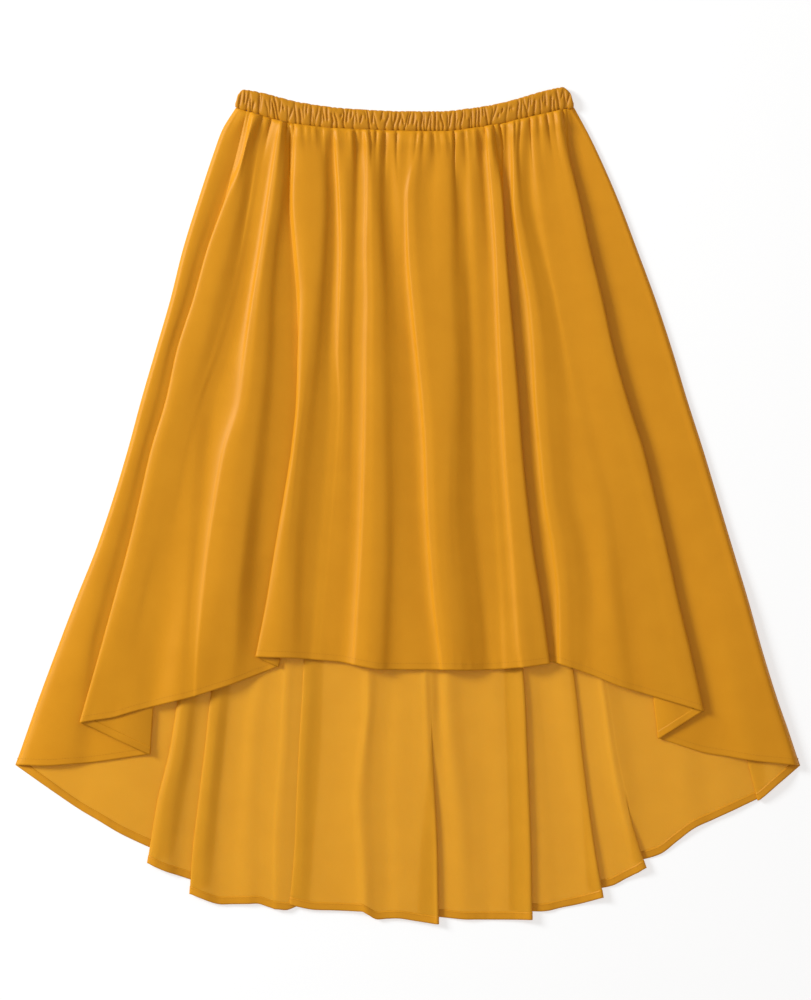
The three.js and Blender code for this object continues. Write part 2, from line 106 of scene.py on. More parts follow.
BACK_DOWN = (200, 400, 600, 700, 750, 800, 850)
BACK_RISE = (0, 0.3, 0.75, 0.9, 1)  # shares of the length where the heights of a fold are given
# Folds of the back panel, left to right along the cloth. Each has its place across at the seam and at each
# distance down, the place of its end on the hem, and heights. Between two of them, a share and heights.
# A crest has a narrow top, an edge falls steeply on its right, and a pleat has an edge that shows (over)
# and one that lies hidden below it (under).
BACK_FOLDS = [
    ("left", 236, LEFT_SIDE, (15.5, 764.8), (0, 0, 0, 0, 0)),
    (0.45, (0.5, 0.5, 0.6, 1.4, 2.2)),
    ("line", 243, (222, 170, 112, 88, 82, 80, 79), (78, 808), (1, 1, 1.6, 1.6, 1.2)),
    (0.5, (0.6, 0.6, 1.6, 1.8, 1.8)),
    ("line", 253, (240, 196, 155, 142, 134, 127, 124), (122, 834), (0, 0, 1.2, 2, 1.6)),
    ("under", 262, (254, 232, 208, 196, 191, 184, 177), (172, 856), (0, 0, 0, 0, 0)),
    ("over", 266, (256, 228, 193.5, 178, 170, 158, 150.5), (147.8, 862.6), (0, 0, 1.6, 1.6, 1.6)),
    (0.35, (2, 3.5, 6, 6.2, 6)),
    ("line", 272, (264, 240, 213, 190, 184, 174, 169), (167, 871), (2, 3.6, 6, 6, 5.2)),
    (0.5, (1, 1.8, 4, 4, 3.2)),
    ("line", 280, (273, 254, 229, 203, 196, 189, 184), (181, 876), (0.4, 0.4, 2.4, 2.4, 1.4)),
    ("under", 286, (280, 264, 240, 228, 224, 218, 214), (210, 885), (0, 0, 0, 0, 0)),
    ("over", 290, (284, 262, 227, 210.5, 205, 199, 193), (190, 893.5), (0, 0, 1, 1, 1)),
    (0.4, (2, 3, 4.8, 5, 4.8)),
    ("line", 300, (296, 277, 246, 232, 226, 222, 219), (218, 903.6), (1.5, 2, 1.9, 1.9, 2.2)),
    ("line", 308, (304, 288, 259, 245, 240, 236, 233), (232, 903.8), (0.6, 0.8, 1.2, 1.4, 1.8)),
    ("line", 316, (313, 299, 274, 258, 252, 250, 248), (248, 903.5), (1, 1.4, 2.4, 2.6, 2.6)),
    ("line", 320, (317, 304, 282, 269, 264, 261, 260), (259, 903.4), (0.8, 1, 2, 2.2, 2.2)),
    ("crest", 323, (321, 308, 291, 284, 282, 278, 275.5), (275, 908.5), (2, 3, 3.8, 3.8, 3.6)),
    ("line", 327, (326, 313, 299, 293, 291, 289.5, 288), (287, 909.5), (0.4, 0.6, 2.9, 2.9, 2.6)),
    ("under", 331, (332, 329, 325, 322, 320, 317, 313), (309, 901), (0, 0, 0, 0, 0)),
    ("over", 335, (333, 320, 307, 302, 299, 296.5, 294.5), (289.5, 904.5), (0, 0, 0, 0, 0)),
    (0.4, (2, 2.6, 3.3, 3.4, 3.4)),
    ("line", 345, (344, 336, 325, 318, 314, 313, 313), (313, 909.2), (0.5, 0.6, 2.5, 2.5, 2.5)),
    (0.4, (0.6, 0.8, 2, 2, 2)),
    ("crest", 360, (362, 364, 366, 366, 361.5, 357, 360.5), (363, 911), (2, 2.6, 5.2, 5.2, 5.2)),
    (0.4, (1.8, 2.2, 4.8, 4.8, 4.8)),
    ("line", 371, (373, 377, 380, 377, 373, 372, 375), (376, 918.6), (0.8, 1, 3.1, 3.1, 3)),
    (0.5, (1, 1.4, 1.9, 1.9, 1.9)),
    ("line", 386, (390, 398, 402, 401, 398, 397, 398), (399, 918), (0.8, 1, 2.6, 2.7, 2.6)),
    ("crest", 399, (403, 413, 422, 426, 428, 430.5, 433), (434, 923.2), (2, 3, 4.8, 4.6, 4.2)),
    ("over", 405, (410, 421, 427, 430.5, 432.5, 435.3, 437.6), (438.6, 923.4), (0, 0, 1.2, 2.2, 2.4)),
    ("under", 409, (412, 423, 429.5, 432.5, 430.5, 426, 421), (418, 915), (0, 0, 0, 0, 0)),
    ("line", 416, (420, 431, 436, 439, 441, 444, 446), (448, 917.6), (0, 0, 2, 1.2, 0.8)),
    ("line", 424, (430, 442, 447, 448, 452, 458, 462), (464, 919), (1.5, 2, 3.8, 3, 2.2)),
    (0.5, (1, 1.2, 1.6, 1.6, 1.6)),
    ("line", 434, (442, 458, 474, 478, 482, 486, 488), (489, 919.3), (0.4, 0.6, 0.8, 0.8, 0.8)),
    (0.6, (1, 1.2, 1.5, 1.5, 1.5)),
    ("line", 446, (458, 482, 502, 508, 510.5, 512.5, 514), (514, 919.2), (1.2, 1.6, 1.4, 1.4, 1.4)),
    (0.5, (2, 2.6, 3.6, 3.6, 3.4)),
    ("over", 453, (466, 491, 515, 525.3, 527.3, 529.3, 531), (532, 919), (0, 0, 3.2, 3.2, 3)),
    ("under", 457, (467, 486, 502, 505, 507, 508, 509), (509, 909.5), (0, 0, 0, 0, 0)),
    ("line", 463, (475, 500, 523, 532, 535, 538, 541), (544, 911), (0, 0, 1.4, 1.4, 1.4)),
    (0.5, (0.5, 0.6, 0.5, 0.5, 0.5)),
    ("line", 471, (485, 514, 541, 553, 559, 567, 575), (580, 903.6), (0.8, 1, 0.9, 0.9, 0.9)),
    (0.6, (1.6, 2.2, 2.8, 2.8, 2.8)),
    ("over", 485, (502, 535, 564, 577, 582, 588, 595), (603, 897), (0, 0, 2.4, 2.4, 2.4)),
    ("under", 489, (503, 534, 561, 573, 577, 582, 585), (588, 889.5), (0, 0, 0, 0, 0)),
    ("line", 495, (511, 542, 570, 583, 589, 595, 604), (612, 885.5), (0, 0, 0.8, 0.8, 0.8)),
    ("crest", 502, (521, 556, 588, 604, 611, 620.5, 633), (638, 872), (1.8, 2.6, 4.8, 4.8, 4.4)),
    ("over", 510, (526, 560, 592, 608, 615.5, 626, 640), (646, 867.6), (0, 0, 1.8, 1.8, 1.8)),
    ("under", 514, (528.5, 562.5, 594.5, 610.5, 618, 627.5, 635), (633, 861), (0, 0, 0, 0, 0)),
    ("line", 521, (538, 574, 608, 624, 632, 642, 654), (660, 854), (0, 0, 1.4, 1.2, 0.5)),
    (0.5, (0.8, 0.8, 1.2, 1.4, 1.4)),
    ("line", 533, (558, 602, 650, 674, 682, 689, 694), (694, 828), (1, 1.4, 2.6, 2.6, 2.2)),
    (0.5, (0.6, 0.8, 1.6, 1.6, 1.6)),
    ("line", 545, (576, 628, 685, 714, 722, 727, 730), (731, 811), (0, 0, 1, 1.8, 2)),
    ("under", 555, (591, 650, 712, 748, 763, 764, 765), (765, 796), (0, 0, 0, 0, 0)),
    ("over", 559, (604, 664, 716, 737, 745, 755, 757), (757.5, 800), (0, 0, 0, 0, 0)),
    (0.5, (0.6, 0.8, 4.5, 4.5, 4.5)),
    ("right", 574, RIGHT_SIDE, (800, 765.4), (0, 0, 0, 0, 0)),
]


def fold_lines(folds, downs, rise_shares, rows, press, held, free):
    """Each fold's kind, its points down the cloth, one to a row, and the share of its height left by what
    presses on it. A row has its share of the length, or in the turned hem its distance above the edge."""
    share = np.array([row[0] for row in rows], float)
    above = np.array([row[1] for row in rows], float)
    found = []
    for fold in folds:
        if len(fold) == 2:
            found.append(None)
            continue
        kind, seam, across, hem, heights = fold
        seam_down = float(band_seam(seam))
        length = hem[1] - seam_down
        stations = SIDE_DOWN if kind in ("left", "right") else downs
        kept = [(d, a) for d, a in zip(stations, across) if seam_down + SEAM_FREE < d < hem[1] - HEM_FREE]
        place = smooth_through(
            [seam_down, *[k[0] for k in kept], hem[1]], [seam, *[k[1] for k in kept], hem[0]])
        away = np.where(above < 0, (length - HEM_WIDTH) * share, length - above)
        x = place(seam_down + away) - MIDDLE_ACROSS
        y = MIDDLE_DOWN - seam_down - away
        pressed = press + (1 - press) * ramp(away, held, free)
        z = smooth_through(rise_shares, heights)(away / length) * pressed
        found.append([kind, np.stack([x, y, z], axis=1), pressed])
    for i in range(len(folds)):
        if found[i] is not None:
            continue
        before = next(fold for fold in found[i::-1] if fold is not None and fold[0] != "part")
        after = next(fold for fold in found[i:] if fold is not None)
        part, heights = folds[i]
        points = before[1] * (1 - part) + after[1] * part
        away = share + np.where(above < 0, 0, 1 - share)
        points[:, 2] = smooth_through(rise_shares, heights)(away) * before[2]
        found[i] = ["part", points, before[2]]
    return found


def sharpened(lines):
    """Lines with a hollow rise before each crest, a narrow top on it, and a steep drop after each edge."""
    found = []
    for i, (kind, points, pressed) in enumerate(lines):
        if kind == "crest":
            before = lines[i - 1][1]
            for share, level in CREST_SIDE:
                side = before + (points - before) * share
                side[:, 2] = before[:, 2] + (points[:, 2] - before[:, 2]) * level
                found.append(["part", side, pressed])
        else:
            found.append([kind, points, pressed])
        if kind in ("crest", "edge") and lines[i + 1][0] not in ("over", "under"):
            after = lines[i + 1][1]
            share = np.minimum(DROP_WIDE / np.maximum(after[:, 0] - points[:, 0], 1), 0.45)[:, None]
            next_to = points + (after - points) * share
            steeper = 0.3 if kind == "crest" else 0.75
            next_to[:, 2] = points[:, 2] + (after[:, 2] - points[:, 2]) * share[:, 0] * steeper
            if kind == "crest":
                next_to[:, 2] -= (points[:, 2] - lines[i - 1][1][:, 2]) * 0.06
            found.append(["part", next_to, pressed])
    return found


def fold_pleats(lines, stack, low, opens):
    """Lists of points across the cloth, each pleat folded over with three points at either edge. Its top
    comes up from a low share of its height over the hidden edge to all of it at the edge that shows.
    Between the two laps in opens it changes from smooth cloth to a pleat."""
    folded_edges = {}
    for i in range(len(lines) - 1):
        kinds = {lines[i][0], lines[i + 1][0]}
        if kinds != {"under", "over"}:
            continue
        rises = lines[i][0] == "under"
        first = lines[i][1]
        second = lines[i + 1][1]
        lap = first[:, 0] - second[:, 0]
        folded = ramp(lap, -PLEAT_OPENS, PLEAT_OPENS)
        standing = 0.3 + 0.7 * ramp(lap, -2 * PLEAT_OPENS, 0)
        smooth = 1 - ramp(lap, *opens)
        upper_edge = second if rises else first
        height = (stack + upper_edge[:, 2] * folded) * standing * lines[i][2]
        back = TURN * (2 * folded - 1)
        for j, (kind, other, _) in enumerate(lines):
            if kind in ("under", "over"):
                continue
            on_top = rises == (j > i)
            past = other[:, 0] - first[:, 0] if rises else second[:, 0] - other[:, 0]
            past_over = other[:, 0] - second[:, 0] if rises else first[:, 0] - other[:, 0]
            if on_top:
                share = np.clip(-past / np.maximum(lap, 1), 0, 1)
                needed = height * (low + (1 - low) * share) - np.maximum(0, past - TURN) * BESIDE_PLEAT
                other[:, 2] = np.maximum(other[:, 2], needed * folded)
            else:
                other[:, 2] = np.where((past < 0) & (past_over > 0), 0, other[:, 2])

        levels = [0, low * 0.33, low * 0.65, 0.6, 0.8, 1.04]
        if not rises:
            levels = levels[::-1]
        places = [(first, -TURN), (first, 0), (first, -back), (second, back), (second, 0), (second, TURN)]
        turned = []
        for (edge, shift), level in zip(places, levels):
            beside = lines[i - 1][1]
            across = (edge[:, 0] + shift - beside[:, 0]) / (lines[i + 2][1][:, 0] - beside[:, 0])
            open_height = beside[:, 2] + (lines[i + 2][1][:, 2] - beside[:, 2]) * np.clip(across, 0, 1)
            z = height * level * (1 - smooth) + open_height * smooth
            turned.append(np.stack([edge[:, 0] + shift, edge[:, 1], z], axis=1))
        folded_edges[i] = turned[:3]
        folded_edges[i + 1] = turned[3:]
    points = []
    turns = []
    for i, (_, line, _) in enumerate(lines):
        group = folded_edges.get(i, [line])
        points += group
        turns += [len(group) > 1] * len(group)
    return np.stack(points, axis=1), turns


def curve_across(points, turns, step):
    """Smooth curves across through the points of each row, with the same columns in every row."""
    lead = 2 * points[:, :1] - points[:, 1:2]
    tail = 2 * points[:, -1:] - points[:, -2:-1]
    p = np.concatenate([lead, points, tail], axis=1)
    gap = np.sqrt(np.maximum(np.linalg.norm(np.diff(p, axis=1), axis=2), 0.05))[:, :, None]
    slope = np.diff(p, axis=1) / gap
    lean = (slope[:, :-1] * gap[:, 1:] + slope[:, 1:] * gap[:, :-1]) / (gap[:, :-1] + gap[:, 1:])
    columns = []
    for i in range(points.shape[1] - 1):
        widest = np.percentile(gap[:, i + 1] ** 2, 80)
        parts = 2 if turns[i] and turns[i + 1] else int(np.clip(round(widest / step), 2, 14))
        for k in range(parts):
            t = k / parts
            start = (1 + 2 * t) * (1 - t) ** 2 * points[:, i] + t * (1 - t) ** 2 * gap[:, i + 1] * lean[:, i]
            end = t * t * (3 - 2 * t) * points[:, i + 1] - t * t * (1 - t) * gap[:, i + 1] * lean[:, i + 1]
            columns.append(start + end)
    columns.append(points[:, -1])
    return np.stack(columns, axis=1)


def cloth_rows(count, dense):
    """Rows down the cloth, closer together below the seam, then those of the turned hem."""
    body = [((k / count) ** dense, -1) for k in range(count)]
    return body + [(1, HEM_WIDTH * (1 - k / (HEM_ROWS - 1))) for k in range(HEM_ROWS)]


def unit(vectors):
    """The same directions with a length of one."""
    return vectors / np.maximum(np.linalg.norm(vectors, axis=-1, keepdims=True), 1e-12)


def cloth_normals(grid):
    """The upward direction at every point of a sheet laid out in rows and columns."""
    along = unit(np.diff(grid, axis=1))
    across = np.concatenate([along[:, :1], along[:, :-1] + along[:, 1:], along[:, -1:]], axis=1)
    fall = unit(np.diff(grid, axis=0))
    down = np.concatenate([fall[:1], fall[:-1] + fall[1:], fall[-1:]], axis=0)
    return unit(np.cross(down, across))


def cloth_shell(name, grid, thickness):
    """A closed shell round a sheet of points in rows and columns, with a UV map of the flat cloth."""
    rows, columns = grid.shape[:2]
    normals = cloth_normals(grid)
    upper = grid + normals * thickness / 2
    lower = grid - normals * thickness / 2
    lower[..., 2] = np.maximum(lower[..., 2], CLOTH_CLEAR)
    points = np.concatenate([upper.reshape(-1, 3), lower.reshape(-1, 3)]) * MM
    far = rows * columns
    index = np.arange(far).reshape(rows, columns)
    a, b, c, d = index[:-1, :-1], index[1:, :-1], index[1:, 1:], index[:-1, 1:]
    top = np.stack([a, b, c, d], axis=-1).reshape(-1, 4)
    bottom = np.stack([a, d, c, b], axis=-1).reshape(-1, 4) + far
    rims = []
    for edge in (index[:, 0], index[-1], index[::-1, -1], index[0, ::-1]):
        rims.append(np.stack([edge[1:], edge[:-1], edge[:-1] + far, edge[1:] + far], axis=1))
    faces = np.concatenate([top, bottom, *rims])
    mesh = bpy.data.meshes.new(name)
    mesh.from_pydata(points.tolist(), [], faces.tolist())
    mesh.shade_smooth()
    steps_across = np.linalg.norm(np.diff(grid, axis=1), axis=2)
    u = np.concatenate([np.zeros((rows, 1)), np.cumsum(steps_across, axis=1)], axis=1)
    u = u - u[:, -1:] / 2
    v = -np.concatenate([[0], np.cumsum(np.linalg.norm(np.diff(grid[:, columns // 2], axis=0), axis=1))])
    flat = np.stack([u, np.broadcast_to(v[:, None], u.shape)], axis=-1).reshape(-1, 2) * MM
    cloth_map = mesh.uv_layers.new(name="cloth")
    cloth_map.data.foreach_set("uv", flat[faces.ravel() % far].astype(np.float32).ravel())
    piece = bpy.data.objects.new(name, mesh)
    bpy.context.scene.collection.objects.link(piece)
    return piece


def puckers(sheet, rows, seed):
    """Small uneven waves along a sewn hem, at every point of the sheet."""
    chance = np.random.default_rng(seed)
    steps = np.linalg.norm(np.diff(sheet[-1], axis=0), axis=1)
    along = np.concatenate([[0], np.cumsum(steps)])
    waves = np.zeros(len(along))
    for long in PUCKER_WAVES:
        waves += np.sin(along / long * 2 * math.pi + chance.uniform(0, 6)) * chance.uniform(0.5, 1)
    patches = 0.55 + 0.45 * np.sin(along / 97.0 + chance.uniform(0, 6))
    above = np.array([row[1] for row in rows], float)
    depth = np.where(above < 0, 0, 1 - np.abs(above - HEM_WIDTH * 0.6) / HEM_WIDTH)
    near = np.arange(len(rows)) == np.argmax(above)
    depth = np.where(near, 0.4, depth)
    return np.maximum(depth[:, None] * waves * patches * PUCKER, -0.1)


back_rows = cloth_rows(98, 1.0)
back_lines = fold_lines(BACK_FOLDS, BACK_DOWN, BACK_RISE, back_rows, press=0.35, held=430, free=560)
back_points, back_turns = fold_pleats(sharpened(back_lines), BACK_STACK, low=0.16, opens=(-2, 12))
back_sheet = curve_across(back_points, back_turns, STEP_ACROSS)
back_sheet[..., 2] = np.maximum(back_sheet[..., 2], 0) + CLOTH / 2
back_sheet[..., 2] += puckers(back_sheet, back_rows, 11)
back_panel = cloth_shell("back_panel_cloth", back_sheet, CLOTH)


# Chiffon: a light mustard cloth of fine crepe threads. It lets some light through, so that one layer over
# the white table is paler than two. The materials below also paint part of that difference into their base
# colours: paler for one layer, darker for several. It has a soft silky sheen along its folds.
def chiffon_surface():
    """A node group for cloth: colour with faint clouds and thread shading, and the height of the weave."""
    group = bpy.data.node_groups.new("Chiffon surface", "ShaderNodeTree")
    face = group.interface
    face.new_socket("Colour", in_out="INPUT", socket_type="NodeSocketColor")
    face.new_socket("Shaded colour", in_out="INPUT", socket_type="NodeSocketColor")
    face.new_socket("Weave scale", in_out="INPUT", socket_type="NodeSocketFloat")
    face.new_socket("Cloud scale", in_out="INPUT", socket_type="NodeSocketFloat")
    face.new_socket("Colour", in_out="OUTPUT", socket_type="NodeSocketColor")
    face.new_socket("Height", in_out="OUTPUT", socket_type="NodeSocketFloat")
    nodes = group.nodes
    links = group.links
    given = nodes.new("NodeGroupInput")
    out = nodes.new("NodeGroupOutput")
    place = nodes.new("ShaderNodeTexCoord")
    clouds = nodes.new("ShaderNodeTexNoise")
    clouds.inputs["Detail"].default_value = 4
    links.new(place.outputs["Object"], clouds.inputs["Vector"])
    links.new(given.outputs["Cloud scale"], clouds.inputs["Scale"])
    spread = nodes.new("ShaderNodeMapRange")
    spread.inputs["From Min"].default_value = 0.35
    spread.inputs["From Max"].default_value = 0.65
    spread.inputs["To Max"].default_value = 0.3
    links.new(clouds.outputs["Fac"], spread.inputs["Value"])
    threads = nodes.new("ShaderNodeVectorMath")
    threads.operation = "SCALE"
    links.new(place.outputs["UV"], threads.inputs[0])
    links.new(given.outputs["Weave scale"], threads.inputs["Scale"])
    apart = nodes.new("ShaderNodeSeparateXYZ")
    links.new(threads.outputs["Vector"], apart.inputs["Vector"])
    waves = []
    for side in ("X", "Y"):
        wave = nodes.new("ShaderNodeMath")
        wave.operation = "SINE"
        links.new(apart.outputs[side], wave.inputs[0])
        waves.append(wave)
    weave = nodes.new("ShaderNodeMath")
    weave.operation = "MULTIPLY"
    links.new(waves[0].outputs[0], weave.inputs[0])
    links.new(waves[1].outputs[0], weave.inputs[1])
    crepe = nodes.new("ShaderNodeTexNoise")
    crepe.inputs["Scale"].default_value = 420
    crepe.inputs["Detail"].default_value = 2
    links.new(place.outputs["Object"], crepe.inputs["Vector"])
    height = nodes.new("ShaderNodeMath")
    height.operation = "MULTIPLY_ADD"
    height.inputs[1].default_value = 0.35
    links.new(weave.outputs[0], height.inputs[0])
    links.new(crepe.outputs["Fac"], height.inputs[2])
    mix = nodes.new("ShaderNodeMix")
    mix.data_type = "RGBA"
    links.new(spread.outputs["Result"], mix.inputs["Factor"])
    links.new(given.outputs["Colour"], mix.inputs["A"])
    links.new(given.outputs["Shaded colour"], mix.inputs["B"])
    links.new(mix.outputs["Result"], out.inputs["Colour"])
    links.new(height.outputs[0], out.inputs["Height"])
    return group


def chiffon(name, colour, shaded, glow, through, see_through):
    """A chiffon material, with the shares of light that glows through it and passes straight through."""
    material = bpy.data.materials.new(name)
    material.use_nodes = True
    nodes = material.node_tree.nodes
    links = material.node_tree.links
    shader = nodes["Principled BSDF"]
    surface = nodes.new("ShaderNodeGroup")
    surface.node_tree = bpy.data.node_groups.get("Chiffon surface") or chiffon_surface()
    surface.inputs["Colour"].default_value = (*colour, 1)
    surface.inputs["Shaded colour"].default_value = (*shaded, 1)
    surface.inputs["Weave scale"].default_value = 9000
    surface.inputs["Cloud scale"].default_value = 38
    links.new(surface.outputs["Colour"], shader.inputs["Base Color"])
    bump = nodes.new("ShaderNodeBump")
    bump.inputs["Strength"].default_value = 0.12
    bump.inputs["Distance"].default_value = 0.0003
    links.new(surface.outputs["Height"], bump.inputs["Height"])
    links.new(bump.outputs["Normal"], shader.inputs["Normal"])
    shader.inputs["Roughness"].default_value = 0.46
    shader.inputs["Specular IOR Level"].default_value = 0.18
    shader.inputs["Sheen Weight"].default_value = 0.1
    shader.inputs["Sheen Roughness"].default_value = 0.35
    shader.inputs["Sheen Tint"].default_value = (1.0, 0.72, 0.25, 1)
    glowing = nodes.new("ShaderNodeBsdfTranslucent")
    glowing.inputs["Color"].default_value = (*glow, 1)
    body = nodes.new("ShaderNodeMixShader")
    body.inputs["Fac"].default_value = through
    links.new(shader.outputs["BSDF"], body.inputs[1])
    links.new(glowing.outputs["BSDF"], body.inputs[2])
    clear = nodes.new("ShaderNodeBsdfTransparent")
    whole = nodes.new("ShaderNodeMixShader")
    whole.inputs["Fac"].default_value = see_through
    links.new(body.outputs["Shader"], whole.inputs[1])
    links.new(clear.outputs["BSDF"], whole.inputs[2])
    links.new(whole.outputs["Shader"], nodes["Material Output"].inputs["Surface"])
    return material


# A single layer over the white table, the same chiffon as the front. Its base colour is painted paler, as
# painted light from the white table showing through one layer.
single_layer_lit_cloth = chiffon(
    "Mustard chiffon painted paler single layer", (0.79, 0.375, 0.018), (0.72, 0.32, 0.012), (1.0, 0.76, 0.22), 0.31, 0.06)
back_panel.data.materials.append(single_layer_lit_cloth)
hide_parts("back_panel")
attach(back_panel, "root")


# Back hem: the lower edge of the panel turned up 8 mm to the inside, which faces up here, and sewn down
# with one row of stitches in thread of the same colour.
STITCH = 2.3
STITCH_GAP = 0.6
THREAD = 0.34
THREAD_CLEAR = 0.03  # least height of the thread above the table
thread = chiffon("Sewing thread", (0.60, 0.25, 0.012), (0.48, 0.18, 0.008), (0.8, 0.4, 0.03), 0.1, 0)


def turned_hem(name, sheet, side):
    """The strip of cloth that is turned up over the last rows of a sheet, on its upper or lower side."""
    last = sheet[-HEM_ROWS:]
    strip = last + cloth_normals(last) * side * CLOTH * 0.85
    strip[..., 2] = np.maximum(strip[..., 2], CLOTH / 2)
    return cloth_shell(name, strip, CLOTH * 0.6)


def sewing_line(sheet, layers):
    """Places of the stitches, one row in from the turned hem's inner edge, so many layers up."""
    return sheet[1 - HEM_ROWS] + cloth_normals(sheet[-HEM_ROWS:])[1] * CLOTH * layers


def stitch_tree():
    """A node tree that lays short rounded stitches end to end along a path, with a small gap between."""
    group = bpy.data.node_groups.new("Stitches along a path", "GeometryNodeTree")
    face = group.interface
    face.new_socket("Geometry", in_out="INPUT", socket_type="NodeSocketGeometry")
    face.new_socket("Stitch length", in_out="INPUT", socket_type="NodeSocketFloat")
    face.new_socket("Gap", in_out="INPUT", socket_type="NodeSocketFloat")
    face.new_socket("Thread width", in_out="INPUT", socket_type="NodeSocketFloat")
    face.new_socket("Thread", in_out="INPUT", socket_type="NodeSocketMaterial")
    face.new_socket("Geometry", in_out="OUTPUT", socket_type="NodeSocketGeometry")
    nodes = group.nodes
    links = group.links
    given = nodes.new("NodeGroupInput")
    out = nodes.new("NodeGroupOutput")
    path = nodes.new("GeometryNodeMeshToCurve")
    links.new(given.outputs["Geometry"], path.inputs["Mesh"])
    pitch = nodes.new("ShaderNodeMath")
    pitch.operation = "ADD"
    links.new(given.outputs["Stitch length"], pitch.inputs[0])
    links.new(given.outputs["Gap"], pitch.inputs[1])
    spaced = nodes.new("GeometryNodeResampleCurve")
    spaced.mode = "LENGTH"
    links.new(path.outputs["Curve"], spaced.inputs["Curve"])
    links.new(pitch.outputs[0], spaced.inputs["Length"])
    stitch = nodes.new("GeometryNodeMeshUVSphere")
    stitch.inputs["Segments"].default_value = 6
    stitch.inputs["Rings"].default_value = 4
    stitch.inputs["Radius"].default_value = 0.5
    smooth = nodes.new("GeometryNodeSetShadeSmooth")
    links.new(stitch.outputs["Mesh"], smooth.inputs["Geometry"])
    size = nodes.new("ShaderNodeCombineXYZ")
    links.new(given.outputs["Thread width"], size.inputs["X"])
    links.new(given.outputs["Thread width"], size.inputs["Y"])
    links.new(given.outputs["Stitch length"], size.inputs["Z"])
    tangent = nodes.new("GeometryNodeInputTangent")
    turn_along = nodes.new("FunctionNodeAlignRotationToVector")
    turn_along.axis = "Z"
    links.new(tangent.outputs["Tangent"], turn_along.inputs["Vector"])
    placed = nodes.new("GeometryNodeInstanceOnPoints")
    links.new(spaced.outputs["Curve"], placed.inputs["Points"])
    links.new(smooth.outputs["Geometry"], placed.inputs["Instance"])
    links.new(turn_along.outputs["Rotation"], placed.inputs["Rotation"])
    links.new(size.outputs["Vector"], placed.inputs["Scale"])
    real = nodes.new("GeometryNodeRealizeInstances")
    links.new(placed.outputs["Instances"], real.inputs["Geometry"])
    coloured = nodes.new("GeometryNodeSetMaterial")
    links.new(real.outputs["Geometry"], coloured.inputs["Geometry"])
    links.new(given.outputs["Thread"], coloured.inputs["Material"])
    links.new(coloured.outputs["Geometry"], out.inputs["Geometry"])
    return group


def stitch_row(name, places):
    """One row of stitches along places on the cloth, as a plain mesh."""
    places[:, 2] = np.maximum(places[:, 2], THREAD / 2 + 0.05)
    chain = bpy.data.meshes.new(name)
    chain.from_pydata((places * MM).tolist(), [(k, k + 1) for k in range(len(places) - 1)], [])
    row = bpy.data.objects.new(name, chain)
    bpy.context.scene.collection.objects.link(row)
    sewing = row.modifiers.new("sewing", "NODES")
    sewing.node_group = bpy.data.node_groups.get("Stitches along a path") or stitch_tree()
    sizes = {"Stitch length": STITCH * MM, "Gap": STITCH_GAP * MM, "Thread width": THREAD * MM}
    values = {**sizes, "Thread": thread}
    for socket in sewing.node_group.interface.items_tree:
        if socket.item_type == "SOCKET" and socket.in_out == "INPUT" and socket.name in values:
            sewing[socket.identifier] = values[socket.name]
    bpy.context.view_layer.update()
    sewn = row.evaluated_get(bpy.context.evaluated_depsgraph_get())
    plain = bpy.data.meshes.new_from_object(sewn)
    row.modifiers.clear()
    for corner in plain.vertices:
        corner.co.z = max(corner.co.z, THREAD_CLEAR * MM)
    row.data = plain
    row.data.name = name
    return row


# Two or three layers lie on each other in the hem, so less light comes through it. The hem's base colour is
# painted darker as painted shade for this.
shaded_hem_cloth = chiffon(
    "Turned chiffon", (0.69, 0.285, 0.009), (0.62, 0.245, 0.006), (0.9, 0.5, 0.06), 0.08, 0)
back_hem = turned_hem("back_hem", back_sheet, 1)
back_hem.data.materials.append(shaded_hem_cloth)
back_stitches = stitch_row("back_hem_stitches", sewing_line(back_sheet, 1.2))
for piece in (back_hem, back_stitches):
    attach(piece, "root")

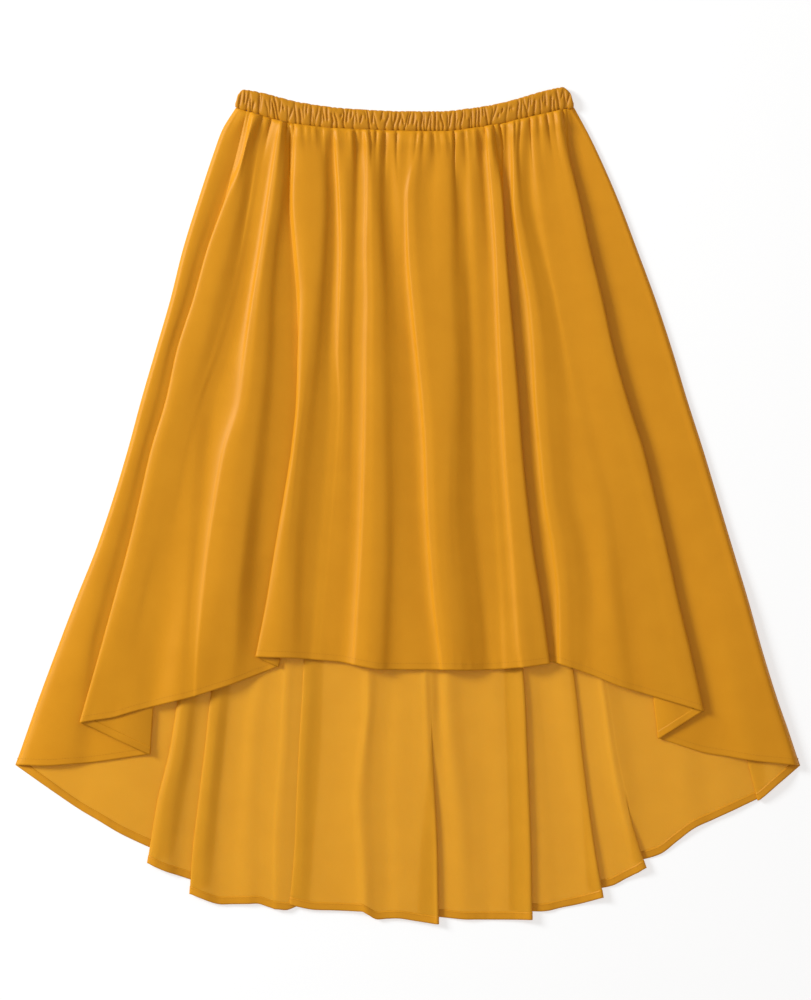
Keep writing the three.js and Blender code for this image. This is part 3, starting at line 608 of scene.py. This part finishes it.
# Front panel: the short half of the tube, in the same chiffon, laid over the back panel, right side up.
# Its folds run from the gathered seam to a narrow turned hem, and its sides fold over into deep pleats.
FRONT_DOWN = (150, 200, 250, 300, 350, 400, 450, 500, 550, 600, 650)
FRONT_RISE = (0, 0.1, 0.3, 0.55, 0.8, 1)
FRONT_STACK = 5.0  # height of three layers in the deeper pleats of the front panel
FRONT_FOLDS = [
    ("left", 236, LEFT_SIDE, (16, 764.5), (0, 0, 0, 0, 0, 0)),
    (0.3, (1.2, 1.4, 1.5, 1.6, 1.7, 1.7)),
    ("line", 240, (221, 204, 189, 176, 161, 147, 134, 119, 104, 90, 80), (48, 765.2),
     (2, 2.2, 2.5, 2.6, 3, 3)),
    (0.5, (1.6, 1.8, 2.1, 2.2, 2.6, 2.6)),
    ("line", 245, (236, 219, 202, 188, 172.5, 161.5, 147, 136, 123.5, 110.5, 98), (90, 762.5),
     (0.5, 0.5, 0.5, 0.5, 0.5, 0.5)),
    ("under", 248, (239, 226, 214, 203, 196, 190, 184, 178, 171, 163, 158), (150.5, 754),
     (0, 0, 0, 0, 0, 0)),
    ("over", 252, (244, 225.5, 207.5, 193.5, 177.5, 166.5, 151.5, 140, 128, 114.5, 101), (80.5, 722),
     (0, 0, 0, 0, 0, 0)),
    (0.35, (5, 6, 6.3, 6.6, 6.6, 4.8)),
    ("line", 260, (248, 240, 228, 215, 203, 187, 171, 158, 148, 138, 127), (114, 717),
     (4.2, 4.6, 6.4, 6.4, 6.2, 4)),
    ("line", 266, (257, 249, 240, 228, 213, 197, 184, 173, 160, 147, 140), (131, 712),
     (1.2, 1.2, 3, 5.6, 5.2, 4)),
    (0.35, (1, 1.2, 2.2, 5.1, 5, 3.2)),
    ("line", 271, (264, 256, 247, 237, 223, 205, 197, 192, 189, 186, 181), (178, 700),
     (0.8, 1, 1, 4.2, 5.4, 3)),
    ("line", 275, (269, 260, 252, 244, 232, 217, 209, 204, 198, 193, 189), (187, 698),
     (1.2, 1.4, 0.8, 2, 4.6, 2.8)),
    ("crest", 281, (276, 268.5, 261, 253, 246, 240, 225, 216, 208.5, 203, 198.5), (196, 695.5),
     (5, 6.4, 7.4, 8, 8.2, 3.6)),
    (0.5, (5, 6.6, 7.8, 8.4, 9.2, 3.8)),
    ("edge", 285, (283, 279, 271, 266, 264, 260, 254, 248, 243, 238, 236), (232, 684),
     (4, 5.4, 7, 7.4, 8.6, 3.4)),
    ("line", 288, (288, 285, 279, 276, 275, 272, 268, 262, 257, 254, 252), (252, 676.5),
     (1.4, 2.2, 3.4, 3, 2.4, 2)),
    (0.55, (0.2, 0.6, 1, 0.8, 0.6, 0.6)),
    ("under", 291, (291, 290.5, 294, 298, 300, 301, 299, 297, 292, 287, 282), (278.6, 666.4),
     (0, 0, 0, 0, 0, 0)),
    ("over", 294, (294, 292.5, 296, 299.5, 298, 296.5, 291.5, 283.5, 275, 267, 257.5), (256, 656.4),
     (0, 0, 0, 0, 0, 0)),
    (0.3, (5, 5.8, 6.6, 7, 7, 6.6)),
    (0.7, (4.9, 5.8, 7, 7.4, 7.4, 7)),
    ("edge", 320, (321, 323, 321, 317, 312, 306, 300, 295, 292, 291, 288), (288, 657.3),
     (4.4, 5.2, 6.4, 7, 6.8, 6)),
    ("line", 328, (329, 330, 328, 325, 322, 318, 314, 309, 305, 303, 302), (302, 658.3),
     (1.4, 2, 3.2, 3.4, 3.2, 3)),
    (0.5, (0.6, 1, 1, 1.4, 1.4, 1.4)),
    ("crest", 334, (336, 339.5, 341, 339.5, 338, 340, 338, 334, 330, 325, 321), (319, 659.8),
     (4.2, 5.8, 5.2, 2.8, 1.8, 1.6)),
    (0.5, (4.2, 5.8, 5.4, 3, 1.9, 1.6)),
    ("line", 352, (353, 352, 350.5, 349, 348, 348, 347, 345, 342, 338, 335), (333, 661),
     (3.6, 4.4, 4.6, 2.6, 1.9, 1.6)),
    ("line", 357, (357.5, 357, 356, 355, 353, 353, 352.5, 352, 350, 347, 345), (341.5, 661.8),
     (1.6, 2.2, 3, 1.8, 1.6, 1.4)),
    ("crest", 365.5, (367, 367, 366, 367, 366, 365.5, 364.5, 363, 361, 358, 355), (353.5, 664.2),
     (5, 6.6, 7.2, 7.4, 7, 6)),
    (0.5, (5, 6.8, 7.8, 8, 7.8, 6.8)),
    ("edge", 376, (376, 376.5, 379, 380, 380.5, 382, 383, 384, 384, 382, 380), (378, 668.8),
     (4.4, 6, 7.4, 7.8, 7.4, 6.4)),
    ("line", 384, (384, 384, 386, 389, 391, 392, 393, 394, 393.5, 392, 390), (389, 669.2),
     (1.8, 2.6, 4.2, 4.8, 4.4, 3.8)),
    (0.45, (0.8, 1.2, 2, 2.5, 2.4, 2.2)),
    ("line", 398, (397.5, 400, 402, 405, 410, 413, 416, 418, 421, 425, 430), (432, 669.4),
     (3.6, 3.4, 1.2, 1, 1, 1)),
    ("crest", 417.5, (415.5, 407, 408, 412, 417, 422, 425.5, 427, 430, 434, 440), (442, 669.3),
     (5.5, 6.6, 7.4, 7.8, 7.4, 6.4)),
    (0.5, (5.2, 6.4, 7.8, 8.5, 8.2, 7)),
    ("line", 424, (424, 421, 423, 428, 433, 438, 440, 441, 443, 447, 452), (453, 669.3),
     (4.4, 5.2, 7.6, 8.8, 8.6, 7.4)),
    (0.3, (3.4, 4.4, 7.4, 8.8, 8.6, 7.4)),
    (0.7, (4.4, 5.6, 7.4, 8.6, 8.2, 7)),
    ("edge", 447, (449.5, 450, 450, 451, 454, 455, 453, 452, 454, 460, 466), (467, 669.8),
     (4.4, 5.6, 7.2, 8, 7.6, 6.4)),
    ("line", 456, (456, 458, 460, 463, 465, 466, 466, 466, 470, 476, 481), (482, 669.9),
     (1.6, 2.2, 3.6, 4.2, 3.8, 3.2)),
    (0.45, (1.4, 1.8, 1.6, 2, 1.8, 1.6)),
    ("line", 468, (469.5, 472, 475, 478, 480, 481, 482, 484, 487, 491, 494), (495, 669.3),
     (3.4, 4.2, 2.2, 1.4, 1.2, 1.2)),
    (0.7, (2.6, 3, 1.8, 1.3, 1.2, 1.2)),
    ("line", 481, (482, 485, 488, 490, 491.5, 493, 494.5, 497, 500, 503, 505), (506, 668.3),
     (1.2, 1.6, 1.8, 1.8, 2, 2.2)),
    ("crest", 485, (487.5, 492, 495.5, 497.5, 499.5, 502, 504.5, 508, 512, 515.5, 519), (522, 666.8),
     (4.4, 6, 6.8, 7, 6.8, 6)),
    (0.5, (4.4, 6, 7.2, 7.4, 7, 6.2)),
    ("over", 494, (497, 503, 506, 510, 514.5, 518.5, 522, 527, 533, 541, 548), (549.5, 663.4),
     (0, 1, 2, 2, 1.6, 1)),
    ("under", 498, (502, 502, 503, 504, 506, 508, 510.5, 513, 518, 524, 526), (527, 661),
     (0, 0, 0, 0, 0, 0)),
    ("line", 505, (506, 508.5, 513, 517.5, 522, 527, 531, 535.5, 542, 549, 552), (552, 662),
     (0, 0, 0, 0, 0, 0)),
    ("crest", 513, (512.5, 513, 519.5, 528.5, 533, 535.5, 540, 545, 553.5, 558.5, 558), (559, 663.4),
     (4.8, 5.8, 6.4, 6.4, 6.4, 5.6)),
    (0.5, (4.4, 5.4, 6.4, 6.4, 6.4, 5.6)),
    ("line", 520, (519, 523, 533, 543, 550, 554, 557, 562, 572, 575, 576), (576, 669),
     (3.4, 3.8, 5, 5.4, 5.4, 4.6)),
    ("line", 527, (528, 531, 541, 553, 561, 567, 570, 575, 586, 591, 590), (590, 674),
     (1.6, 2, 3.6, 4, 3.4, 3)),
    ("line", 532, (534, 540, 548, 558, 568, 578, 588, 601, 607, 612, 619), (623, 687),
     (4, 4.6, 4.4, 4.8, 6.4, 5.4)),
    (0.5, (4, 4.6, 5, 4.9, 5.4, 5)),
    ("line", 545, (550, 558, 568, 579, 588, 596, 607, 622, 630, 636, 642), (647, 694),
     (3.8, 4.8, 5.8, 5.6, 5, 4.6)),
    (0.45, (4.8, 5.8, 7, 6.7, 5.9, 5.4)),
    (0.75, (5.6, 6.6, 7.6, 7.6, 7, 6.4)),
    ("over", 562, (567.5, 579, 590, 602, 613, 627, 643, 655, 666.5, 677.5, 689.5), (703, 710.5),
     (0, 1, 2, 2, 1.6, 1)),
    ("under", 566, (568, 574, 582, 590, 598, 606, 614, 622, 630, 639, 647), (657.8, 738),
     (0, 0, 0, 0, 0, 0)),
    ("line", 567, (575, 588, 599, 611, 623, 637, 653, 665, 677, 689, 700), (704, 752.4),
     (0.2, 0, 0, 0, 0, 0)),
    (0.5, (0.2, 0.2, 0.3, 0.4, 0.5, 0.7)),
    ("line", 571, (585, 603, 618, 633, 646, 660, 674, 688, 702, 716, 730), (752, 760),
     (0.7, 0.8, 0.9, 1.1, 1.4, 1.8)),
    (0.6, (1.4, 1.6, 1.8, 2, 2.2, 2.3)),
    (0.9, (1.7, 2, 2.2, 2.5, 2.7, 2.7)),
    ("right", 574, RIGHT_SIDE, (799.5, 765), (0, 0, 0, 0, 0, 0)),
]

# Small gathers just below the waistband, round lobes with a narrow notch between each two: the place of
# each notch along the seam, then the height and the reach of the lobe on its right
GATHERS = [
    (240, 1.0, 24), (250.5, 1.6, 34), (263.5, 1.4, 22), (272, 1.8, 30), (287, 1.2, 16), (294.5, 1.4, 18),
    (304.5, 1.5, 14), (311, 1.4, 14), (317.7, 0.8, 10), (322, 1.6, 20), (334.5, 1.4, 22), (340, 1.2, 16),
    (346, 1.6, 22), (355, 1.2, 16), (362, 1.6, 26), (370, 1.0, 12), (376, 1.5, 24), (385.5, 1.9, 36),
    (397, 1.5, 26), (404, 1.0, 14), (410, 1.4, 22), (417, 1.2, 16), (423.5, 1.7, 26), (433, 1.2, 18),
    (439, 1.4, 20), (447.5, 1.3, 20), (454, 1.8, 38), (464, 1.2, 20), (471, 1.5, 26), (478, 1.1, 16),
    (484.5, 1.4, 24), (493.5, 1.1, 14), (499.5, 1.3, 20), (506.5, 1.5, 26), (515, 1.0, 16), (520.5, 1.7, 36),
    (529.5, 1.2, 20), (538, 1.4, 28), (546, 1.0, 18), (553, 1.3, 28), (562, 0.9, 22), (572, 0, 10),
]
GATHER_RISE = 2.3  # times the heights above
GATHER_SIDE = 14.0  # distance from a side edge where they are full
BAND_MIDDLE = 3.1  # height of the waistband's middle above the table
SEAM_HEIGHT = BAND_MIDDLE + 0.2  # height of the front panel where it is sewn to the waistband
SIDE_SEAM = CLOTH * 1.2  # height of the front panel where it is sewn to the back panel
LIE_CLEAR = 0.9  # front panel above the highest cloth below it
SIDE_LAY = 4.0  # how far in from a side edge the front panel comes down to the back panel
BAND_LAY = 26.0  # how far below the waistband the front panel lies as the back panel lets it
COVER_CELL = 5.0  # side of one square of the map of the cloth below
COVER_CELLS = 190


def highest_cloth(sheet):
    """Height of the cloth below at any place, widened and then smoothed, as one soft layer lies over it."""
    cells = np.full((COVER_CELLS, COVER_CELLS), CLOTH)
    i = np.round(sheet[..., 0] / COVER_CELL + COVER_CELLS / 2).astype(int)
    j = np.round(sheet[..., 1] / COVER_CELL + COVER_CELLS / 2).astype(int)
    np.maximum.at(cells, (j, i), sheet[..., 2] + CLOTH / 2)
    near = [(a, b) for a in (-1, 0, 1) for b in (-1, 0, 1)]
    for together in (np.max, np.max, np.mean, np.mean, np.mean):
        cells = together([np.roll(cells, shift, (0, 1)) for shift in near], axis=0)

    def at(x, y):
        u = x / COVER_CELL + COVER_CELLS / 2
        w = y / COVER_CELL + COVER_CELLS / 2
        a = np.floor(u).astype(int)
        b = np.floor(w).astype(int)
        u = u - a
        w = w - b
        low = cells[b, a] * (1 - u) + cells[b, a + 1] * u
        high = cells[b + 1, a] * (1 - u) + cells[b + 1, a + 1] * u
        return low * (1 - w) + high * w

    return at


front_rows = cloth_rows(112, 1.3)
front_lines = fold_lines(FRONT_FOLDS, FRONT_DOWN, FRONT_RISE, front_rows, press=0.45, held=0, free=14)
front_points, front_turns = fold_pleats(sharpened(front_lines), FRONT_STACK, low=0.62, opens=(-8.5, -4))
front_sheet = curve_across(front_points, front_turns, STEP_ACROSS)
front_sheet[..., 2] = np.maximum(front_sheet[..., 2], 0) + CLOTH / 2
x = front_sheet[..., 0]
y = front_sheet[..., 1]
from_band = MIDDLE_DOWN - y - band_seam(x + MIDDLE_ACROSS)
from_side = np.minimum(x - x[:, :1], x[:, -1:] - x)
seam_x = np.broadcast_to(x[0] + MIDDLE_ACROSS, x.shape)
puffs = np.zeros(x.shape)
away = np.maximum(from_band, 0)
for (notch, high, reach), (next_notch, _, _) in zip(GATHERS, GATHERS[1:]):
    share = np.clip((seam_x - notch) / (next_notch - notch), 0, 1)
    lobe = np.sin(np.pi * share) ** 0.5
    fade = np.exp(-((away / reach) ** 2)) * ramp(away, -2, 3.5)
    puffs += high * GATHER_RISE * lobe * fade
cover = highest_cloth(back_sheet)
inward = ramp(from_side, 0, SIDE_LAY)
on_back = SIDE_SEAM + (cover(x, y) + LIE_CLEAR - SIDE_SEAM) * inward
at_band = SIDE_SEAM + (SEAM_HEIGHT - SIDE_SEAM) * inward
settle = ramp(from_band, 0, BAND_LAY)
front_sheet[..., 2] += at_band + (on_back - at_band) * settle + puffs * ramp(from_side, 2, GATHER_SIDE)
front_sheet[..., 2] += puckers(front_sheet, front_rows, 5)
front_panel = cloth_shell("front_panel_cloth", front_sheet, CLOTH)
# The right side of the cloth, with the back panel under it. Its base colour is painted a little deeper than
# the single back layer's, as painted shade for the less light that comes through two layers.
panel_cloth = chiffon(
    "Mustard chiffon", (0.745, 0.317, 0.009), (0.67, 0.27, 0.005), (1.0, 0.68, 0.13), 0.18, 0.05)
front_panel.data.materials.append(panel_cloth)
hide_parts("front_panel")
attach(front_panel, "root")

# Front hem: turned to the inside as the back one is, so here it lies under the panel and only its row of
# stitches and a slight ridge show.
front_hem = turned_hem("front_hem", front_sheet, -1)
front_hem.data.materials.append(panel_cloth)
front_stitches = stitch_row("front_hem_stitches", sewing_line(front_sheet, 0.55))
for piece in (front_hem, front_stitches):
    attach(piece, "root")

# Waistband: one casing of the same chiffon, doubled over and gathered by the elastic sewn inside it.
# It is pressed flat, so its front and back halves lie on each other, and its gathers are close and uneven.
BAND_LEFT = 238.5
BAND_RIGHT = 570.5
BAND_HALF = 3.1  # half of its thickness
BAND_GAP = 0.3  # half of what is left between its two inner faces
BAND_CLEAR = 0.05  # least height above the table
BAND_FRONT_COLUMNS = 760
BAND_BACK_COLUMNS = 380
BAND_TURN_COLUMNS = 12
BAND_GROOVES = 90
gathers = np.random.default_rng(7)
groove_places = np.linspace(BAND_LEFT + 2, BAND_RIGHT - 2, BAND_GROOVES)
groove_places += gathers.uniform(-1.3, 1.3, BAND_GROOVES)
groove_lean = gathers.normal(1.0, 3.2, BAND_GROOVES)
groove_bend = gathers.normal(0, 0.5, BAND_GROOVES)
groove_wide = gathers.uniform(0.8, 1.4, BAND_GROOVES)
groove_deep = gathers.uniform(1.0, 2.1, BAND_GROOVES)
# Most grooves run the whole way up, some start or end part of the way
groove_start = gathers.choice([-0.2, -0.2, -0.2, -0.2, 0.2, 0.4], BAND_GROOVES)
groove_end = gathers.choice([1.2, 1.2, 1.2, 1.2, 0.8, 0.6], BAND_GROOVES)


def band_relief(across, up):
    """How far the gathers of the waistband stand out, at places across and shares up the band."""
    groove = np.zeros(across.shape)
    for k in range(BAND_GROOVES):
        middle = groove_places[k] + groove_lean[k] * (up - 0.5) + groove_bend[k] * np.sin(up * math.pi * 2)
        shape = np.exp(-(np.abs(across - middle) / groove_wide[k]) ** 1.3)
        starts = ramp(up, groove_start[k], groove_start[k] + 0.2)
        ends = 1 - ramp(up, groove_end[k] - 0.2, groove_end[k])
        groove = np.maximum(groove, groove_deep[k] * shape * (starts * ends))
    return 1.5 - groove


face_up = np.linspace(0, 1, 19)
bulge = smooth_through((0, 0.06, 0.2, 0.5, 0.8, 0.94, 1), (0.35, 0.62, 0.8, 0.84, 0.8, 0.62, 0.3))(face_up)
casing_up = np.concatenate([face_up, [1, 0.5, 0]])
casing_out = np.concatenate([bulge, [0, 0, 0]])
casing_face = np.concatenate([np.sin(np.pi * np.clip(face_up, 0.06, 0.94)) ** 0.5, [0, 0, 0]])
front_across = np.linspace(BAND_LEFT, BAND_RIGHT, BAND_FRONT_COLUMNS)
back_across = np.linspace(BAND_RIGHT, BAND_LEFT, BAND_BACK_COLUMNS)
turn_angle = np.linspace(0, np.pi, BAND_TURN_COLUMNS + 2)[1:-1]
column_x = np.concatenate([
    front_across, np.full(BAND_TURN_COLUMNS, BAND_RIGHT),
    back_across, np.full(BAND_TURN_COLUMNS, BAND_LEFT)])
column_angle = np.concatenate([
    np.zeros(BAND_FRONT_COLUMNS), turn_angle,
    np.full(BAND_BACK_COLUMNS, np.pi), np.pi + turn_angle])
side = np.cos(column_angle)[:, None]
turn = np.sin(column_angle)[:, None]
up = np.broadcast_to(casing_up, (len(column_x), len(casing_up)))
relief = band_relief(column_x[:, None] + 2 * turn, up) * casing_face
reach = np.maximum(BAND_GAP + (BAND_HALF - BAND_GAP) * casing_out + relief * 0.9, BAND_GAP)
at = column_x[:, None] + turn * np.minimum(reach, BAND_HALF)
down = band_seam(at) * (1 - up) + band_top(at) * up
# Between two grooves the casing bulges a little past its two edges, and in a groove it draws back
pulled = band_relief(column_x[:, None], 0.08) - 0.7
down = down + np.clip(pulled, -0.5, 1) * (1 - up) ** 3 - pulled * up**3 * 0.35
casing_points = np.stack([at - MIDDLE_ACROSS, MIDDLE_DOWN - down, BAND_MIDDLE + side * reach], axis=-1)
casing_points[..., 2] = np.maximum(casing_points[..., 2], BAND_CLEAR)
ring, loop = casing_points.shape[:2]
index = np.arange(ring * loop).reshape(ring, loop)
after = np.roll(index, -1, axis=0)
casing_faces = np.stack([index, after, np.roll(after, -1, axis=1), np.roll(index, -1, axis=1)], axis=-1)
casing_places = casing_points.reshape(-1, 3) * MM
casing_mesh = bpy.data.meshes.new("waistband_casing")
casing_mesh.from_pydata(casing_places.tolist(), [], casing_faces.reshape(-1, 4).tolist())
casing_mesh.shade_smooth()
casing_map = casing_mesh.uv_layers.new(name="cloth")
casing_flat = casing_places[:, :2]
casing_map.data.foreach_set("uv", casing_flat[casing_faces.ravel()].astype(np.float32).ravel())
waistband = bpy.data.objects.new("waistband_casing", casing_mesh)
bpy.context.scene.collection.objects.link(waistband)
# Four layers and the elastic, so hardly any light comes through. The base colour is painted darker as
# painted shade for this.
shaded_band_cloth = chiffon("Gathered chiffon", (0.60, 0.245, 0.008), (0.52, 0.2, 0.005), (0.8, 0.36, 0.03), 0.1, 0)
waistband.data.materials.append(shaded_band_cloth)
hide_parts("waistband")
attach(waistband, "root")

# The table, the light and the camera, straight above the middle of the picture.
TABLE_HALF = 4.0  # metres, half of one side
TABLE_HEIGHT = -0.0003  # just below the cloth
table_mesh = bpy.data.meshes.new("table")
sides = [(-1, -1), (1, -1), (1, 1), (-1, 1)]
corners = [(a * TABLE_HALF, b * TABLE_HALF, TABLE_HEIGHT) for a, b in sides]
table_mesh.from_pydata(corners, [], [(0, 1, 2, 3)])
table = bpy.data.objects.new("table", table_mesh)
bpy.context.scene.collection.objects.link(table)
white = bpy.data.materials.new("White table")
white.use_nodes = True
white_shader = white.node_tree.nodes["Principled BSDF"]
white_shader.inputs["Base Color"].default_value = (0.44, 0.44, 0.44, 1)
white_shader.inputs["Roughness"].default_value = 0.9
white_shader.inputs["Emission Color"].default_value = (1, 1, 1, 1)
white_shader.inputs["Emission Strength"].default_value = 0.57
table.data.materials.append(white)

world = bpy.data.worlds.new("Studio")
world.use_nodes = True
world.node_tree.nodes["Background"].inputs["Color"].default_value = (1.05, 0.97, 0.92, 1)
world.node_tree.nodes["Background"].inputs["Strength"].default_value = 0.42
bpy.context.scene.world = world


def soft_light(name, place, size, power, colour):
    """A square soft box that faces the middle of the table."""
    lamp = bpy.data.lights.new(name, "AREA")
    lamp.shape = "SQUARE"
    lamp.size = size
    lamp.energy = power
    lamp.color = colour
    box = bpy.data.objects.new(name, lamp)
    box.location = place
    direction = -np.array(place)
    box.rotation_euler = (
        math.atan2(math.hypot(direction[0], direction[1]), -direction[2]), 0,
        math.atan2(direction[1], direction[0]) - math.pi / 2)
    bpy.context.scene.collection.objects.link(box)


soft_light("key light", (-3.2, 1.5, 1.75), 1.1, 170, (0.93, 1, 1.04))
soft_light("top light", (0.3, 0.4, 3.2), 2.4, 14, (1, 1, 1))

VIEW_HEIGHT = 1.0  # metres of table down the picture
EYE_HEIGHT = 2.5
SENSOR_HEIGHT = 36
PICTURE_MIDDLE = (-0.0025, 0.0063)  # its place on the table
camera_data = bpy.data.cameras.new("camera")
camera_data.sensor_fit = "VERTICAL"
camera_data.sensor_height = SENSOR_HEIGHT
camera_data.lens = SENSOR_HEIGHT * EYE_HEIGHT / VIEW_HEIGHT
camera = bpy.data.objects.new("camera", camera_data)
camera.location = (*PICTURE_MIDDLE, EYE_HEIGHT)
bpy.context.scene.collection.objects.link(camera)
bpy.context.scene.camera = camera
bpy.context.scene.view_settings.view_transform = "Standard"
